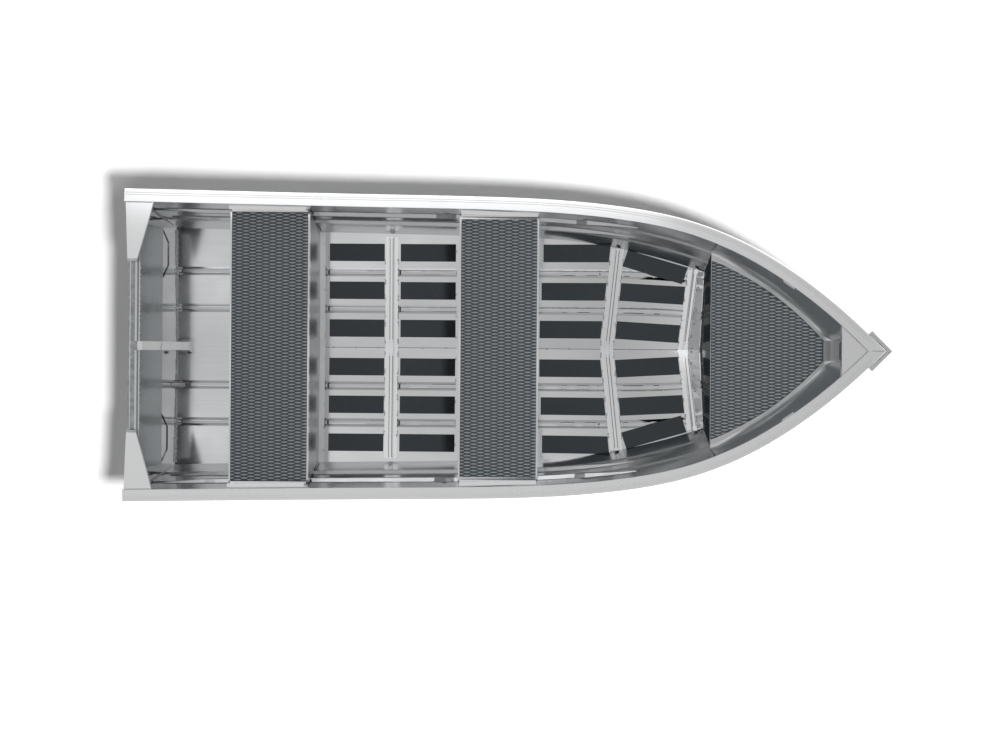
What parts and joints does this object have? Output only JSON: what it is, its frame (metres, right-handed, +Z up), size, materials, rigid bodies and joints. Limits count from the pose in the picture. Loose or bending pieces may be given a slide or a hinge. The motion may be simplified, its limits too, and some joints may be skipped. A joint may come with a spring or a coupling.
{
  "type": "rowing boat",
  "caption": "Small open aluminium rowing boat with a V bow, pressed hull sheets, box benches, a bow deck and a raked transom.",
  "frame": {"origin": "on the ground under the middle of the boat's length and beam", "axes": "+X to the bow, +Y to port, +Z up"},
  "size_m": [3.6735, 1.5104, 0.6582],
  "materials": {
    "hull_aluminium": "bright mill-finish sheet",
    "gunwale_aluminium": "satin extrusion",
    "drain_aluminium": "turned tube",
    "board_plastic": "matt board",
    "non_slip_mat": "matt with raised lozenges",
    "grip_strip": "gritty self-adhesive strip"
  },
  "bodies": {
    "root": {"hull_bottom_port": "hull_aluminium", "hull_bottom_starboard": "hull_aluminium", "hull_side_port": "hull_aluminium", "hull_side_starboard": "hull_aluminium", "transom": "hull_aluminium", "transom_post": "hull_aluminium", "aft_keelson": "hull_aluminium", "corner_knee_port": "hull_aluminium", "corner_knee_starboard": "hull_aluminium", "inner_clamp_plate": "hull_aluminium", "aft_bench_top": "hull_aluminium", "aft_bench_front_panel": "hull_aluminium", "aft_bench_back_panel": "hull_aluminium", "mid_bench_top": "hull_aluminium", "mid_bench_front_panel": "hull_aluminium", "mid_bench_back_panel": "hull_aluminium", "bow_deck": "hull_aluminium", "bow_deck_panel": "hull_aluminium", "mid_bay_rib": "hull_aluminium", "forward_bay_rib": "hull_aluminium", "bow_bay_rib": "hull_aluminium", "rib_straps": "hull_aluminium", "breasthook": "hull_aluminium", "bow_guard": "hull_aluminium", "keel_bar": "hull_aluminium", "stem_bar": "hull_aluminium", "gunwale_port": "gunwale_aluminium", "gunwale_starboard": "gunwale_aluminium", "drain_tube": "drain_aluminium", "motor_board": "board_plastic", "outer_clamp_pad": "board_plastic", "aft_bench_mat": "non_slip_mat", "mid_bench_mat": "non_slip_mat", "bow_deck_mat": "non_slip_mat", "floor_strips_aft_bay": "grip_strip", "floor_strips_mid_bay": "grip_strip", "floor_strips_forward_bay": "grip_strip", "floor_strips_bow_bay": "grip_strip"}
  },
  "joints": []
}
